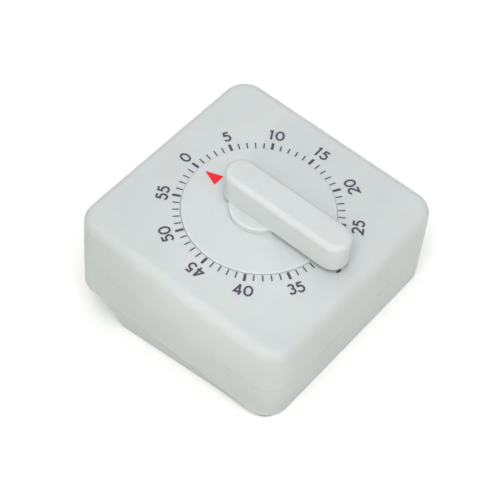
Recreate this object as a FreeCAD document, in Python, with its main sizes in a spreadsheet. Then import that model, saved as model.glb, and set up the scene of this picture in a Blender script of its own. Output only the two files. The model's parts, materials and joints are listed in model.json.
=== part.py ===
import FreeCAD, Part
import math
import os
import re
import Sketcher

# Sixty-minute kitchen timer with a clockwork movement.
#
# Every piece is drawn in the dial frame: the origin is the centre of the dial on the
# face, +Z points out of the face and +Y points to the zero mark.  At the end each piece
# gets the same seat, which stands the timer on the flat of its wedge-shaped foot, so
# that the origin is on that flat and +Z is up.

document = FreeCAD.newDocument("kitchen_timer")
sizes = document.addObject("Spreadsheet::Sheet", "Sizes")

DRIVING_SIZES = {
    # case
    "case_width": 70.3,
    "case_corner": 7.2,
    "face_round": 3.0,
    "face_draft": 0.9,
    "wall": 2.0,
    "face_thick": 2.2,
    "seam_depth": 16.3,
    "rim_depth": 28.6,
    "rim_round": 0.5,
    "seam_bevel": 0.22,
    "lip_wall": 0.9,
    "lip_height": 1.6,
    "lip_gap": 0.1,
    # wedge foot of the rear case
    "foot_inset": 0.9,
    "foot_front": -34.0,
    "foot_back": 26.5,
    "foot_corner": 4.0,
    "foot_draft": 7.0,
    "foot_tilt": 10.6,
    "foot_crest": 18.6,
    "foot_crest_round": 1.2,
    "foot_back_slope": 39.0,
    "foot_drop": 12.0,
    "foot_front_wall": 3.4,
    "slot_count": 7,
    "slot_pitch": 6.0,
    "slot_width": 1.8,
    # dial knob
    "recess_radius": 21.05,
    "recess_depth": 0.8,
    "recess_bevel": 0.15,
    "disc_radius": 20.95,
    "disc_top": 0.3,
    "disc_under": -0.5,
    "disc_round": 0.25,
    "boss_radius": 8.3,
    "boss_round": 0.35,
    "bar_half": 4.6,
    "bar_short_end": 11.2,
    "bar_long_end": -29.1,
    "bar_foot": 2.2,
    "bar_top": 11.2,
    "bar_round": 1.6,
    "core_gap": 0.9,
    "core_long_end": -7.4,
    "core_short_end": 7.4,
    "core_half": 2.3,
    "core_top": 8.2,
    "sleeve_radius": 4.6,
    "sleeve_end": -4.4,
    "sleeve_hole": 5.0,
    # arbors and plates
    "arbor_radius": 2.5,
    "arbor_flat": 1.8,
    "arbor_top": 6.8,
    "bearing_gap": 0.05,
    "main_pivot": 1.5,
    "train_arbor": 0.9,
    "train_pivot": 0.5,
    "plate_half": 27.0,
    "plate_chamfer": 8.0,
    "plate_thick": 1.0,
    "front_plate": -6.0,
    "rear_plate": -20.0,
    "pillar_place": 20.5,
    "pillar_radius": 2.2,
    "pillar_tenon": 1.2,
    "end_play": 0.15,
    "pivot_sunk": 0.2,
    # train
    "great_teeth": 60,
    "great_module": 0.45,
    "great_level": -12.8,
    "second_teeth": 52,
    "second_module": 0.4,
    "second_level": -15.0,
    "third_teeth": 44,
    "third_module": 0.35,
    "third_level": -17.6,
    "wheel_thick": 0.8,
    "great_thick": 1.0,
    "second_leaves": 8,
    "third_leaves": 7,
    "escape_leaves": 6,
    "leaf_overhang": 0.6,
    "great_rim": 1.2,
    "second_rim": 1.0,
    "third_rim": 0.8,
    "escape_teeth": 22,
    "escape_tip": 5.0,
    "escape_depth": 1.1,
    "escape_level": -9.8,
    "ratchet_teeth": 16,
    "ratchet_tip": 4.0,
    "ratchet_depth": 0.7,
    "ratchet_level": -16.2,
    "cam_radius": 8.0,
    "cam_notch": 2.2,
    "cam_level": -17.8,
    "stop_radius": 12.2,
    "stop_pin": 0.5,
    "stop_pin_length": 1.1,
    "stop_gap": 0.3,
    "post_radius": 0.8,
    # click and pallets
    "click_half": 0.5,
    "click_eye": 1.1,
    "click_thick": 0.8,
    "leaf_half": 0.12,
    "leaf_stud": 0.5,
    "click_leaf_width": 1.2,
    "pallet_reach": 8.2,
    "pallet_drop": 1.2,
    "pallet_arm_half": 0.7,
    "pallet_arm_thick": 0.8,
    "pallet_pin": 0.35,
    "pallet_pin_length": 2.6,
    "pallet_boss": 1.6,
    "balance_half": 0.6,
    "balance_weight": 1.5,
    "balance_thick": 1.0,
    # mainspring
    "spring_inner": 2.95,
    "spring_outer": 10.3,
    "spring_turns": 6.5,
    "spring_strip": 0.35,
    "spring_low": -11.0,
    "spring_width": 4.4,
    # alarm
    "star_teeth": 12,
    "star_tip": 5.0,
    "star_depth": 1.2,
    "hammer_level": -21.6,
    "lever_thick": 0.9,
    "lever_half": 0.6,
    "lever_boss": 1.9,
    "kick_gap": 0.55,
    "hammer_half": 0.8,
    "hammer_weight": 1.7,
    "hammer_drop": 2.4,
    "hammer_rivet": 0.6,
    "spring_stud": 0.7,
    "spring_leaf_width": 2.0,
    "bell_radius": 22.0,
    "bell_wall": 0.8,
    "bell_mouth": -22.2,
    "bell_top": -27.6,
    "bell_shoulder": 3.4,
    "stud_radius": 1.8,
    "stud_bore": 1.1,
    "stud_flange": 4.5,
    "stud_flange_thick": 0.8,
    "washer_radius": 3.2,
    "washer_thick": 0.5,
    # fasteners
    "case_screw_place": 28.7,
    "case_boss": 2.9,
    "case_thread": 1.2,
    "case_shank": 1.45,
    "case_head": 2.25,
    "case_head_level": -20.0,
    "movement_screw_x": 24.2,
    "movement_screw_y": 16.0,
    "movement_post": 2.4,
    "movement_thread": 0.9,
    "case_thread_end": -6.0,
    "case_head_height": 1.6,
    "case_screw_reach": 11.0,
    "movement_thread_end": -2.6,
    "movement_head": 1.8,
    "movement_head_height": 1.1,
    "movement_screw_reach": 3.2,
    "pillar_head": 1.9,
    "pillar_head_height": 1.2,
    "pillar_screw_reach": 5.0,
    "bell_head": 2.1,
    "bell_head_height": 1.3,
    "bell_screw_reach": 5.3,
}

for row, (alias, amount) in enumerate(DRIVING_SIZES.items(), start=1):
    sizes.set(f"A{row}", alias)
    sizes.set(f"B{row}", str(amount))
    sizes.setAlias(f"B{row}", alias)
document.recompute()


def size(alias):
    """The number held by one cell of the sheet."""
    return float(sizes.get(alias))


def number(expression):
    """The value of an expression such as 'case_width / 2', read from the sheet."""
    if isinstance(expression, (int, float)):
        return float(expression)
    return float(sizes.evalExpression(expression))


def bound(expression):
    """The same expression as other objects of the document write it."""

    def cell(word):
        return f"Sizes.{word[0]}" if word[0] in DRIVING_SIZES else word[0]

    return re.sub(r"[a-z_]+", cell, expression)


def bind(target, path, expression):
    """Set a property from an expression, or from a plain number."""
    if isinstance(expression, (int, float)):
        setattr(target, path, expression)
    else:
        target.setExpression(path, bound(expression))


# ---------------------------------------------------------------- sketch helpers


def dimension(sketch, kind, *where, amount):
    """Add one sketch dimension and tie it to its expression."""
    index = sketch.addConstraint(Sketcher.Constraint(kind, *where, number(amount)))
    if not isinstance(amount, (int, float)):
        name = f"dimension{index}"
        sketch.renameConstraint(index, name)
        sketch.setExpression(f"Constraints.{name}", bound(amount))


def fix_point(sketch, index, end, x, y):
    dimension(sketch, "DistanceX", -1, 1, index, end, amount=x)
    dimension(sketch, "DistanceY", -1, 1, index, end, amount=y)


def draw_circle(sketch, radius, x=0, y=0):
    centre = FreeCAD.Vector(number(x), number(y), 0)
    circle = Part.Circle(centre, FreeCAD.Vector(0, 0, 1), number(radius))
    index = sketch.addGeometry(circle, False)
    dimension(sketch, "Radius", index, amount=radius)
    fix_point(sketch, index, 3, x, y)


def draw_outline(sketch, points):
    """A closed outline of straight sides through the given points."""
    corners = [FreeCAD.Vector(number(x), number(y), 0) for x, y in points]
    first = sketch.GeometryCount
    for start, end in zip(corners, corners[1:] + corners[:1]):
        sketch.addGeometry(Part.LineSegment(start, end), False)
    for step in range(len(points)):
        following = first + (step + 1) % len(points)
        sketch.addConstraint(Sketcher.Constraint("Coincident", first + step, 2, following, 1))
    for step, (x, y) in enumerate(points):
        fix_point(sketch, first + step, 1, x, y)


def draw_rectangle(sketch, left, bottom, right, top):
    draw_outline(sketch, [(left, bottom), (right, bottom), (right, top), (left, top)])


def draw_rounded(sketch, left, bottom, right, top, radius):
    """A rectangle with rounded corners: four sides and four tangent arcs."""
    x0, y0, x1, y1, r = (number(v) for v in (left, bottom, right, top, radius))
    centres = [(x1 - r, y0 + r), (x1 - r, y1 - r), (x0 + r, y1 - r), (x0 + r, y0 + r)]
    sides = [
        ((x0 + r, y0), (x1 - r, y0)),
        ((x1, y0 + r), (x1, y1 - r)),
        ((x1 - r, y1), (x0 + r, y1)),
        ((x0, y1 - r), (x0, y0 + r)),
    ]
    first = sketch.GeometryCount
    for turn, (side, centre) in enumerate(zip(sides, centres)):
        start, end = (FreeCAD.Vector(x, y, 0) for x, y in side)
        sketch.addGeometry(Part.LineSegment(start, end), False)
        circle = Part.Circle(FreeCAD.Vector(*centre, 0), FreeCAD.Vector(0, 0, 1), r)
        begin = math.radians(90 * turn - 90)
        sketch.addGeometry(Part.ArcOfCircle(circle, begin, begin + math.pi / 2), False)
    for step in range(8):
        following = first + (step + 1) % 8
        sketch.addConstraint(Sketcher.Constraint("Tangent", first + step, 2, following, 1))
    for step, kind in enumerate(("Horizontal", "Vertical", "Horizontal", "Vertical")):
        sketch.addConstraint(Sketcher.Constraint(kind, first + 2 * step))
    for step in (3, 5, 7):
        sketch.addConstraint(Sketcher.Constraint("Equal", first + 1, first + step))
    dimension(sketch, "Radius", first + 1, amount=radius)
    dimension(sketch, "DistanceY", -1, 1, first, 1, amount=bottom)
    dimension(sketch, "DistanceX", -1, 1, first + 2, 1, amount=right)
    dimension(sketch, "DistanceY", -1, 1, first + 4, 1, amount=top)
    dimension(sketch, "DistanceX", -1, 1, first + 6, 1, amount=left)


def draw_slot(sketch, half, low, high):
    """A slot along Y with round ends, 'half' wide each side of the axis."""
    w, y0, y1 = number(half), number(low), number(high)
    lower = Part.Circle(FreeCAD.Vector(0, y0 + w, 0), FreeCAD.Vector(0, 0, 1), w)
    upper = Part.Circle(FreeCAD.Vector(0, y1 - w, 0), FreeCAD.Vector(0, 0, 1), w)
    first = sketch.GeometryCount
    right = Part.LineSegment(FreeCAD.Vector(w, y0 + w, 0), FreeCAD.Vector(w, y1 - w, 0))
    left = Part.LineSegment(FreeCAD.Vector(-w, y1 - w, 0), FreeCAD.Vector(-w, y0 + w, 0))
    sketch.addGeometry(right, False)
    sketch.addGeometry(Part.ArcOfCircle(upper, 0, math.pi), False)
    sketch.addGeometry(left, False)
    sketch.addGeometry(Part.ArcOfCircle(lower, math.pi, 2 * math.pi), False)
    for step in range(4):
        following = first + (step + 1) % 4
        sketch.addConstraint(Sketcher.Constraint("Tangent", first + step, 2, following, 1))
    dimension(sketch, "Radius", first + 1, amount=half)
    fix_point(sketch, first + 1, 3, 0, f"({high}) - ({half})")
    fix_point(sketch, first + 3, 3, 0, f"({low}) + ({half})")


def draw_d_hole(sketch, radius, flat):
    """A round hole with one flat side, which faces +Y."""
    r, f = number(radius), number(flat)
    lean = math.asin(f / r)
    circle = Part.Circle(FreeCAD.Vector(0, 0, 0), FreeCAD.Vector(0, 0, 1), r)
    first = sketch.GeometryCount
    sketch.addGeometry(Part.ArcOfCircle(circle, math.pi - lean, 2 * math.pi + lean), False)
    half = math.sqrt(r * r - f * f)
    chord = Part.LineSegment(FreeCAD.Vector(half, f, 0), FreeCAD.Vector(-half, f, 0))
    sketch.addGeometry(chord, False)
    sketch.addConstraint(Sketcher.Constraint("Coincident", first, 2, first + 1, 1))
    sketch.addConstraint(Sketcher.Constraint("Coincident", first + 1, 2, first, 1))
    sketch.addConstraint(Sketcher.Constraint("Coincident", first, 3, -1, 1))
    sketch.addConstraint(Sketcher.Constraint("Horizontal", first + 1))
    dimension(sketch, "Radius", first, amount=radius)
    dimension(sketch, "DistanceY", -1, 1, first + 1, 1, amount=flat)


# ---------------------------------------------------------------- piece helpers

nodes = {}


class Piece:
    """One PartDesign body, made feature by feature in its own frame."""

    def __init__(self, name):
        self.name = name
        self.body = document.addObject("PartDesign::Body", name)
        self.body.Label = name
        self.count = 0
        nodes[name] = self.body

    def add(self, kind, word):
        self.count += 1
        return self.body.newObject(kind, f"{self.name}_{word}{self.count}")

    def sketch(self, plane="XY_Plane", level=0):
        """A sketch on one of the body's own origin planes, moved along its normal."""
        sketch = self.add("Sketcher::SketchObject", "sketch")
        features = self.body.Origin.OriginFeatures
        support = [feature for feature in features if feature.Role == plane][0]
        sketch.AttachmentSupport = [(support, "")]
        sketch.MapMode = "FlatFace"
        if isinstance(level, str):
            sketch.setExpression("AttachmentOffset.Base.z", bound(level))
        else:
            lift = FreeCAD.Vector(0, 0, level)
            sketch.AttachmentOffset = FreeCAD.Placement(lift, FreeCAD.Rotation())
        return sketch

    def volume(self):
        document.recompute()
        shape = self.body.Shape
        return 0.0 if shape.isNull() else shape.Volume

    def pad(self, sketch, length, downward=False, taper=0):
        """Raise the sketch along its normal, or lower it against the normal."""
        before = self.volume()
        feature = self.add("PartDesign::Pad", "pad")
        feature.Profile = sketch
        bind(feature, "Length", length)
        feature.Reversed = downward
        bind(feature, "TaperAngle", taper)
        self.expect(self.volume() > before, "pad added nothing")
        return feature

    def cut(self, sketch, depth, both_ways=False):
        """Cut against the sketch's normal."""
        before = self.volume()
        feature = self.add("PartDesign::Pocket", "pocket")
        feature.Profile = sketch
        bind(feature, "Length", depth)
        feature.Midplane = both_ways
        self.expect(self.volume() < before, "pocket cut nothing")
        return feature

    def spin(self, sketch):
        """Turn the sketch about its own upright axis."""
        before = self.volume()
        feature = self.add("PartDesign::Revolution", "revolution")
        feature.Profile = sketch
        feature.ReferenceAxis = (sketch, ["V_Axis"])
        feature.Angle = 360.0
        self.expect(self.volume() > before, "revolution added nothing")
        return feature

    def repeat(self, feature, sketch, count):
        """Repeat a feature evenly round the origin."""
        before = self.volume()
        pattern = self.add("PartDesign::PolarPattern", "pattern")
        pattern.Originals = [feature]
        pattern.Axis = (sketch, ["N_Axis"])
        pattern.Angle = 360.0
        bind(pattern, "Occurrences", count)
        self.body.Tip = pattern
        self.expect(abs(self.volume() - before) > 1e-6, "pattern changed nothing")
        return pattern

    def dress(self, kind, property_name, amount, chosen):
        """Fillet or chamfer the edges of the piece that 'chosen' accepts."""
        before = self.volume()
        base = self.body.Tip
        names = [
            f"Edge{place}"
            for place, edge in enumerate(base.Shape.Edges, start=1)
            if chosen(edge)
        ]
        self.expect(names, "no edges chosen")
        feature = self.add(kind, "dress")
        feature.Base = (base, names)
        bind(feature, property_name, amount)
        self.expect(abs(self.volume() - before) > 1e-6, "edges unchanged")

    def round(self, amount, chosen):
        self.dress("PartDesign::Fillet", "Radius", amount, chosen)

    def bevel(self, amount, chosen):
        self.dress("PartDesign::Chamfer", "Size", amount, chosen)

    def expect(self, held, trouble):
        if not held:
            raise RuntimeError(f"{self.name}: {trouble}")


def level_edge(height, least_reach):
    """Edges that lie flat at a height and reach at least so far from the axis."""

    def chosen(edge):
        box = edge.BoundBox
        flat = abs(box.ZMin - height) < 1e-4 and abs(box.ZMax - height) < 1e-4
        reach = max(abs(box.XMin), abs(box.XMax), abs(box.YMin), abs(box.YMax))
        return flat and reach > least_reach

    return chosen


def ring_edge(height, radius):
    """The round edge that lies flat at a height, centred on the axis."""

    def chosen(edge):
        box = edge.BoundBox
        flat = abs(box.ZMin - height) < 1e-4 and abs(box.ZMax - height) < 1e-4
        return flat and abs(box.XMax - radius) < 1e-2 and abs(box.YMax - radius) < 1e-2

    return chosen


def cylinder(name, radius, bottom, length, x=0.0, y=0.0):
    """A round bar along Z."""
    item = document.addObject("Part::Cylinder", name)
    bind(item, "Radius", radius)
    bind(item, "Height", length)
    item.Placement.Base = FreeCAD.Vector(x, y, number(bottom))
    return item


def joined(name, items):
    """One solid made of overlapping or touching primitives."""
    result = document.addObject("Part::MultiFuse", name)
    result.Shapes = items
    result.Refine = True
    return result


def without(name, base, tool):
    result = document.addObject("Part::Cut", name)
    result.Base = base
    result.Tool = tool
    return result


def group(name, items):
    """Separate solids kept as one node."""
    result = document.addObject("Part::Compound", name)
    result.Links = items
    return keep(name, result)


def keep(name, item):
    item.Label = name
    nodes[name] = item
    return item


def arm(name, start, end, half, bottom, thick):
    """A flat lever arm with a round end at its start and its end."""
    run = FreeCAD.Vector(end[0] - start[0], end[1] - start[1], 0)
    web = document.addObject("Part::Box", f"{name}_web")
    web.Length = run.Length
    bind(web, "Width", f"2 * ({half})")
    bind(web, "Height", thick)
    turn = FreeCAD.Rotation(FreeCAD.Vector(1, 0, 0), run)
    side = turn.multVec(FreeCAD.Vector(0, -number(half), 0))
    base = FreeCAD.Vector(start[0], start[1], number(bottom)) + side
    web.Placement = FreeCAD.Placement(base, turn)
    ends = [
        cylinder(f"{name}_end{place}", half, bottom, thick, *point)
        for place, point in enumerate((start, end))
    ]
    return [web] + ends


def polar(radius, angle, centre=(0.0, 0.0)):
    """A point at a distance and direction, in degrees, from a centre."""
    x = centre[0] + radius * math.cos(math.radians(angle))
    y = centre[1] + radius * math.sin(math.radians(angle))
    return (x, y)


# ---------------------------------------------------------------- layout of the movement

# Directions are in degrees from +X.  Each next arbor stands at its centre distance.
SECOND_DIRECTION = 15.0
THIRD_DIRECTION = 110.0
ESCAPE_DIRECTION = 150.0
PALLET_DIRECTION = 184.0
ALARM_DIRECTION = 261.0
STOP_DIRECTION = 150.0
SPRING_POST_DIRECTION = 200.0

great_pitch = size("great_teeth") * size("great_module") / 2
second_pitch = size("second_teeth") * size("second_module") / 2
third_pitch = size("third_teeth") * size("third_module") / 2
second_reach = great_pitch + size("second_leaves") * size("great_module") / 2
third_reach = second_pitch + size("third_leaves") * size("second_module") / 2
escape_reach = third_pitch + size("escape_leaves") * size("third_module") / 2

MAIN = (0.0, 0.0)
SECOND = polar(second_reach, SECOND_DIRECTION)
THIRD = polar(third_reach, THIRD_DIRECTION, SECOND)
ESCAPE = polar(escape_reach, ESCAPE_DIRECTION, THIRD)
PALLET = polar(size("pallet_reach"), PALLET_DIRECTION, ESCAPE)
ALARM = polar(second_reach, ALARM_DIRECTION)
HAMMER = (12.0, -14.5)
HAMMER_HEAD = polar(18.6, -13.0)
TRIP = (-12.5, -8.5)
TRIP_ELBOW = (-11.2, 0.0)
TRIP_FINGER = polar(size("cam_radius") + 0.9, 180.0)
LOCK_TIP = (5.0, -20.8)
TRIP_BEND = (-6.8, -20.6)
TRIP_KNEE = (0.4, -22.3)
TRIP_BLOCK = polar(2.6, 150.0, LOCK_TIP)
HAMMER_SPRING = ((15.5, -23.0), (8.3, -20.4))
TRIP_SPRING = ((-17.5, -0.5), (-12.6, -3.0))

# These stand on the second wheel, so they are measured from the second arbor.
CLICK_PIVOT = polar(7.4, 250.0)
CLICK_TOE = polar(size("ratchet_tip") + 0.75, 205.0)
CLICK_LEAF = (polar(8.3, 222.0), polar(7.0, 208.0))

PALLET_PINS = [polar(6.2, PALLET_DIRECTION + side * 40.0, ESCAPE) for side in (-1, 1)]
BALANCE_WEIGHTS = [polar(6.0, PALLET_DIRECTION + side * 90.0, PALLET) for side in (-1, 1)]

STOP_POST = polar(size("stop_radius"), STOP_DIRECTION)
SPRING_POST = polar(11.9, SPRING_POST_DIRECTION)

pillar = size("pillar_place")
PILLARS = [(x, y) for x in (-pillar, pillar) for y in (-pillar, pillar)]
screw_x, screw_y = size("movement_screw_x"), size("movement_screw_y")
MOVEMENT_SCREWS = [(x, y) for x in (-screw_x, screw_x) for y in (-screw_y, screw_y)]
corner = size("case_screw_place")
CASE_SCREWS = [(x, y) for x in (-corner, corner) for y in (-corner, corner)]

places = {}


def stand(name, centre, turn=0.0):
    """Stand a piece that was drawn on its own axis at its place in the movement."""
    places[name] = (centre, turn)


def tooth_at(direction, teeth):
    """Turn that puts a tooth in a direction on a wheel whose gaps start at +X."""
    return direction + 180.0 / teeth


def gap_at(direction, leaves):
    """Turn that puts a gap in a direction on a pinion whose leaves start at +X."""
    return direction + 180.0 / leaves


# ---------------------------------------------------------------- case


def make_front_case():
    piece = Piece("front_case")
    half = "case_width / 2"
    inner = "case_width / 2 - wall"
    outer_sketch = piece.sketch(level="-seam_depth")
    draw_rounded(outer_sketch, f"-({half})", f"-({half})", half, half, "case_corner")
    piece.pad(outer_sketch, "seam_depth", taper="-face_draft")
    piece.round("face_round", level_edge(0.0, size("case_width") / 2 - 10))

    hollow = piece.sketch(level="-face_thick")
    radius = "case_corner - wall"
    draw_rounded(hollow, f"-({inner})", f"-({inner})", inner, inner, radius)
    piece.cut(hollow, "seam_depth")

    step = piece.sketch(level="-(seam_depth - lip_height - lip_gap)")
    edge = "case_width / 2 - wall + lip_wall + lip_gap"
    radius = "case_corner - wall + lip_wall + lip_gap"
    draw_rounded(step, f"-({edge})", f"-({edge})", edge, edge, radius)
    piece.cut(step, "seam_depth")
    piece.bevel("seam_bevel", level_edge(-size("seam_depth"), size("case_width") / 2 - 0.5))

    bosses = piece.sketch(level="-seam_depth")
    for x, y in CASE_SCREWS:
        draw_circle(bosses, "case_boss", x, y)
    piece.pad(bosses, "seam_depth - face_thick + 0.2")
    posts = piece.sketch(level="front_plate + plate_thick")
    for x, y in MOVEMENT_SCREWS:
        draw_circle(posts, "movement_post", x, y)
    piece.pad(posts, "-(front_plate + plate_thick) - face_thick + 0.2")

    recess = piece.sketch()
    draw_circle(recess, "recess_radius")
    piece.cut(recess, "recess_depth")
    piece.bevel("recess_bevel", ring_edge(0.0, size("recess_radius")))
    hole = piece.sketch()
    draw_circle(hole, "sleeve_hole")
    piece.cut(hole, "face_thick + 1")

    threads = piece.sketch(level="case_thread_end")
    for x, y in CASE_SCREWS:
        draw_circle(threads, "case_thread", x, y)
    piece.cut(threads, "seam_depth")
    threads = piece.sketch(level="movement_thread_end")
    for x, y in MOVEMENT_SCREWS:
        draw_circle(threads, "movement_thread", x, y)
    piece.cut(threads, "seam_depth")


def make_rear_case():
    piece = Piece("rear_case")
    half = "case_width / 2"
    outer_sketch = piece.sketch(level="-rim_depth")
    draw_rounded(outer_sketch, f"-({half})", f"-({half})", half, half, "case_corner")
    piece.pad(outer_sketch, "rim_depth - seam_depth")
    piece.bevel("seam_bevel", level_edge(-size("seam_depth"), size("case_width") / 2 - 8))
    piece.round("rim_round", level_edge(-size("rim_depth"), size("case_width") / 2 - 8))

    # wedge foot: a drafted block under the rim, cut by its flat and its sloping back
    block = piece.sketch(level="-rim_depth")
    side = "case_width / 2 - foot_inset"
    draw_rounded(block, f"-({side})", "foot_front", side, "foot_back", "foot_corner")
    piece.pad(block, "foot_drop", downward=True, taper="-foot_draft")

    cutter = piece.sketch("YZ_Plane")
    tilt = math.radians(size("foot_tilt"))
    slope = math.radians(size("foot_back_slope"))
    deep = size("rim_depth") + size("foot_drop") + 5
    start_y = -size("case_width") / 2
    crest_y = size("foot_crest")
    crest_z = -size("rim_depth") - (crest_y - start_y) * math.tan(tilt)
    rise = crest_z + size("rim_depth")
    back_y = crest_y - rise * math.tan(slope)
    run_out = 20.0
    draw_outline(
        cutter,
        [
            (start_y, -size("rim_depth")),
            (crest_y, crest_z),
            (back_y, -size("rim_depth")),
            (back_y + run_out, -size("rim_depth")),
            (back_y + run_out, -deep),
            (start_y - run_out, -deep),
            (start_y - run_out, -size("rim_depth")),
        ],
    )
    piece.cut(cutter, "2 * case_width", both_ways=True)
    piece.round("foot_crest_round", level_edge(crest_z, size("case_width") / 2 - 5))

    # hollow inside the walls and inside the foot
    inner = "case_width / 2 - wall"
    hollow = piece.sketch(level="-seam_depth")
    radius = "case_corner - wall"
    draw_rounded(hollow, f"-({inner})", f"-({inner})", inner, inner, radius)
    piece.cut(hollow, "rim_depth - seam_depth - wall")
    inner_foot = piece.sketch("YZ_Plane")
    thick = size("wall")
    floor_z = -size("rim_depth") + thick / math.cos(tilt)
    inner_start = start_y + size("foot_front_wall")
    inner_crest = crest_y - 1.0
    inner_back = back_y - thick / math.cos(slope)
    floor_at = {
        y: floor_z - (y - start_y) * math.tan(tilt) for y in (inner_start, inner_crest)
    }
    ceiling = -size("rim_depth") + thick + 0.5
    draw_outline(
        inner_foot,
        [
            (inner_start, ceiling),
            (inner_start, floor_at[inner_start]),
            (inner_crest, floor_at[inner_crest]),
            (inner_back, -size("rim_depth")),
            (inner_back, ceiling),
        ],
    )
    piece.cut(inner_foot, "2 * (case_width / 2 - foot_inset - wall - 0.6)", both_ways=True)

    # locating lip that stands inside the front case
    lip = piece.sketch(level="-seam_depth - 0.01")
    edge = "case_width / 2 - wall + lip_wall"
    radius = "case_corner - wall + lip_wall"
    draw_rounded(lip, f"-({edge})", f"-({edge})", edge, edge, radius)
    draw_rounded(lip, f"-({inner})", f"-({inner})", inner, inner, "case_corner - wall")
    piece.pad(lip, "lip_height + 0.01")

    bosses = piece.sketch(level="-seam_depth")
    for x, y in CASE_SCREWS:
        draw_circle(bosses, "case_boss + 0.6", x, y)
    piece.pad(bosses, "rim_depth - seam_depth - 0.3", downward=True)
    heads = piece.sketch(level="case_head_level")
    for x, y in CASE_SCREWS:
        draw_circle(heads, "case_head + 0.15", x, y)
    piece.cut(heads, "foot_drop + rim_depth")
    shanks = piece.sketch(level="-seam_depth + 1")
    for x, y in CASE_SCREWS:
        draw_circle(shanks, "case_shank", x, y)
    piece.cut(shanks, "rim_depth")

    # upright sound slots through the sloping back of the foot
    slots = piece.sketch("XZ_Plane", level=-(inner_crest - 1.0))
    count = int(size("slot_count"))
    for place in range(count):
        middle = (place - (count - 1) / 2) * size("slot_pitch")
        left = middle - size("slot_width") / 2
        right = middle + size("slot_width") / 2
        top = -size("rim_depth") - 1.6
        bottom = crest_z + 3.0
        draw_rectangle(slots, left, bottom, right, top)
    piece.cut(slots, "foot_drop")


# ---------------------------------------------------------------- dial


def make_knob():
    piece = Piece("dial_knob")
    disc = piece.sketch(level="disc_under")
    draw_circle(disc, "disc_radius")
    piece.pad(disc, "disc_top - disc_under")
    piece.round("disc_round", level_edge(size("disc_top"), size("disc_radius") - 1))
    boss = piece.sketch(level="disc_top - 0.1")
    draw_circle(boss, "boss_radius")
    piece.pad(boss, "bar_foot - disc_top + 0.1")
    piece.round("boss_round", level_edge(size("bar_foot"), size("boss_radius") - 1))
    bar = piece.sketch(level="bar_foot")
    draw_slot(bar, "bar_half", "bar_long_end", "bar_short_end")
    piece.pad(bar, "bar_top - bar_foot")
    piece.round("bar_round", level_edge(size("bar_top"), 1))
    sleeve = piece.sketch(level="sleeve_end")
    draw_circle(sleeve, "sleeve_radius")
    piece.pad(sleeve, "disc_under - sleeve_end + 0.1")

    # the boss is cored out from behind, each side of the sleeve
    beside = "sleeve_radius + core_gap"
    for low, high in (("core_long_end", f"-({beside})"), (beside, "core_short_end")):
        core = piece.sketch(level="core_top")
        draw_rectangle(core, "-core_half", low, "core_half", high)
        piece.cut(core, "core_top - disc_under")
    bore = piece.sketch(level="arbor_top")
    draw_d_hole(bore, "arbor_radius", "arbor_flat")
    piece.cut(bore, "arbor_top - sleeve_end + 1")


def make_main_arbor():
    piece = Piece("main_arbor")
    profile = piece.sketch("XZ_Plane")
    shoulder = "rear_plate + plate_thick + end_play"
    draw_outline(
        profile,
        [
            (0, "rear_plate + 0.1"),
            ("main_pivot", "rear_plate + 0.1"),
            ("main_pivot", shoulder),
            ("arbor_radius", shoulder),
            ("arbor_radius", "arbor_top"),
            (0, "arbor_top"),
        ],
    )
    piece.spin(profile)
    flat = piece.sketch(level="arbor_top")
    draw_rectangle(flat, -4, "arbor_flat", 4, 4)
    piece.cut(flat, "arbor_top - sleeve_end")


# ---------------------------------------------------------------- gears


def make_wheel(name, teeth, module, level, thick, bore, windows, rim):
    """A clock wheel: narrow teeth left between wide gaps, and round windows."""
    piece = Piece(name)
    pitch = f"{teeth} * {module} / 2"
    blank = piece.sketch(level=level)
    draw_circle(blank, f"{pitch} + {module}")
    draw_circle(blank, bore)
    piece.pad(blank, thick)
    top = f"{level} + {thick}"
    window = piece.sketch(level=top)
    middle = f"({pitch} - 1.6 * {module} - {rim} + {bore}) / 2 + 0.35"
    opening = f"({pitch} - 1.6 * {module} - {rim} - {bore}) / 2 - 0.65"
    draw_circle(window, opening, middle, 0)
    cut = piece.cut(window, thick)
    piece.repeat(cut, window, windows)
    gap = piece.sketch(level=top)
    root = f"{pitch} - 1.3 * {module}"
    beyond = f"{pitch} + 1.5 * {module}"
    draw_outline(
        gap,
        [
            (root, f"-0.75 * {module}"),
            (beyond, f"-1.48 * {module}"),
            (beyond, f"1.48 * {module}"),
            (root, f"0.75 * {module}"),
        ],
    )
    cut = piece.cut(gap, thick)
    piece.repeat(cut, gap, teeth)


def make_pinion(name, leaves, module, wheel_level, wheel_thick, shaft, pivot):
    """An arbor with a pinion cut on it, whose leaves stand a little past the wheel they mesh with."""
    piece = Piece(name)
    low = f"{wheel_level} - leaf_overhang"
    high = f"{wheel_level} + {wheel_thick} + leaf_overhang"
    front_shoulder = "front_plate - end_play"
    rear_shoulder = "rear_plate + plate_thick + end_play"
    profile = piece.sketch("XZ_Plane")
    core = f"{leaves} * {module} / 2 - 1.3 * {module}"
    draw_outline(
        profile,
        [
            (0, "rear_plate + pivot_sunk"),
            (pivot, "rear_plate + pivot_sunk"),
            (pivot, rear_shoulder),
            (shaft, rear_shoulder),
            (shaft, low),
            (core, low),
            (core, high),
            (shaft, high),
            (shaft, front_shoulder),
            (pivot, front_shoulder),
            (pivot, "front_plate + plate_thick - pivot_sunk"),
            (0, "front_plate + plate_thick - pivot_sunk"),
        ],
    )
    piece.spin(profile)
    leaf = piece.sketch(level=low)
    tip = f"{leaves} * {module} / 2 + 0.8 * {module}"
    foot = f"({core}) * 0.6"
    draw_outline(
        leaf,
        [
            (foot, f"-0.45 * {module}"),
            (tip, f"-0.28 * {module}"),
            (tip, f"0.28 * {module}"),
            (foot, f"0.45 * {module}"),
        ],
    )
    raised = piece.pad(leaf, f"({high}) - ({low})")
    piece.repeat(raised, leaf, leaves)
    return piece


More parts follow.
